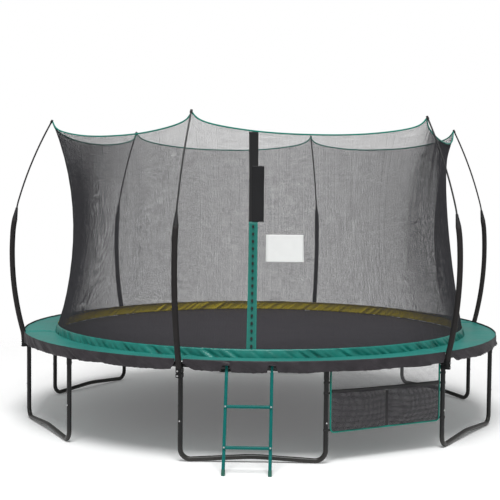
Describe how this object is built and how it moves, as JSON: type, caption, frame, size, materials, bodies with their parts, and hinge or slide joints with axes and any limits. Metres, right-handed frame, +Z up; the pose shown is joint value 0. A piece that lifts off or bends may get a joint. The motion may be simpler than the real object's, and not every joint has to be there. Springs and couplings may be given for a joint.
{
  "type": "garden trampoline",
  "caption": "Round garden trampoline with a padded ring, bowed net poles, a closed safety net, a hook-on ladder and a hanging storage bag.",
  "frame": {"origin": "middle of the jumping mat's top face", "axes": "+Z up out of the mat; -Y towards the side with the door and the ladder"},
  "size_m": [4.4112, 4.6669, 2.6547],
  "materials": {
    "black_tube": "satin",
    "black_bracket": "matte",
    "zinc": "satin",
    "spring_wire": "satin",
    "pole_sleeve": "matte",
    "fibreglass": "satin",
    "black_plastic": "satin",
    "pad_vinyl": "satin",
    "pad_underside": "matte",
    "foam": "matte",
    "skirt_cloth": "matte",
    "webbing": "matte",
    "mat_weave": "matte",
    "collar_cloth": "satin",
    "net_mesh": "matte",
    "green_binding": "satin",
    "black_binding": "satin",
    "toggle_plastic": "satin",
    "banner_cloth": "matte",
    "card": "satin",
    "bag_cloth": "matte",
    "ladder_paint": "satin",
    "rubber_foot": "matte"
  },
  "bodies": {
    "frame": {"rail_sections": "black_tube", "leg_sockets": "black_tube", "leg_posts": "black_tube", "w_leg_1": "black_tube", "w_leg_2": "black_tube", "w_leg_3": "black_tube", "w_leg_4": "black_tube", "w_leg_5": "black_tube", "w_leg_6": "black_tube", "leg_screws": "zinc", "socket_screws": "zinc", "pole_tubes": "black_tube", "pole_sleeve_1": "pole_sleeve", "pole_sleeve_2": "pole_sleeve", "pole_sleeve_3": "pole_sleeve", "pole_sleeve_4": "pole_sleeve", "pole_sleeve_5": "pole_sleeve", "pole_sleeve_6": "pole_sleeve", "pole_caps": "black_plastic", "pole_rod_1": "fibreglass", "pole_rod_2": "fibreglass", "pole_rod_3": "fibreglass", "pole_rod_4": "fibreglass", "pole_rod_5": "fibreglass", "pole_rod_6": "fibreglass", "rod_tips": "black_plastic", "pole_brackets": "black_bracket", "bracket_bolts": "zinc", "pad_cover": "pad_vinyl", "pad_backing": "pad_underside", "pad_foam": "foam", "pad_skirt": "skirt_cloth", "pad_straps": "webbing", "mat_springs": "spring_wire", "net_collar": "collar_cloth", "net_wall": "net_mesh", "net_hem_rope": "green_binding", "corner_loops": "webbing", "door_strip_lower": "green_binding", "door_strip_upper": "black_binding", "door_toggles": "toggle_plastic", "door_banner": "banner_cloth", "net_card": "card", "bag_panel": "bag_cloth", "bag_pocket_left": "bag_cloth", "bag_pocket_right": "bag_cloth", "bag_band": "green_binding", "bag_piping": "green_binding", "bag_ties": "webbing"},
    "mat": {"mat": "mat_weave", "mat_border": "webbing", "mat_tabs": "webbing", "triangle_rings": "zinc"},
    "ladder": {"ladder_stile_left": "ladder_paint", "ladder_stile_right": "ladder_paint", "ladder_hooks": "ladder_paint", "ladder_rungs": "ladder_paint", "rung_screws": "zinc", "ladder_feet": "rubber_foot"}
  },
  "joints": [
    {"name": "mat_bounce", "type": "slide", "parent": "frame", "child": "mat", "axis": [0, 0, 1], "range_m": [-0.2, 0], "stiffness_N_per_m": 5000, "springref_m": 0.05, "deforming": ["mat_springs", "net_collar"]},
    {"name": "ladder_swing", "type": "hinge", "parent": "frame", "child": "ladder", "pos_m": [-0.02797, -2.10813, -0.001], "axis": [-0.9999, 0.0133, 0], "range_deg": [0, 40]}
  ]
}
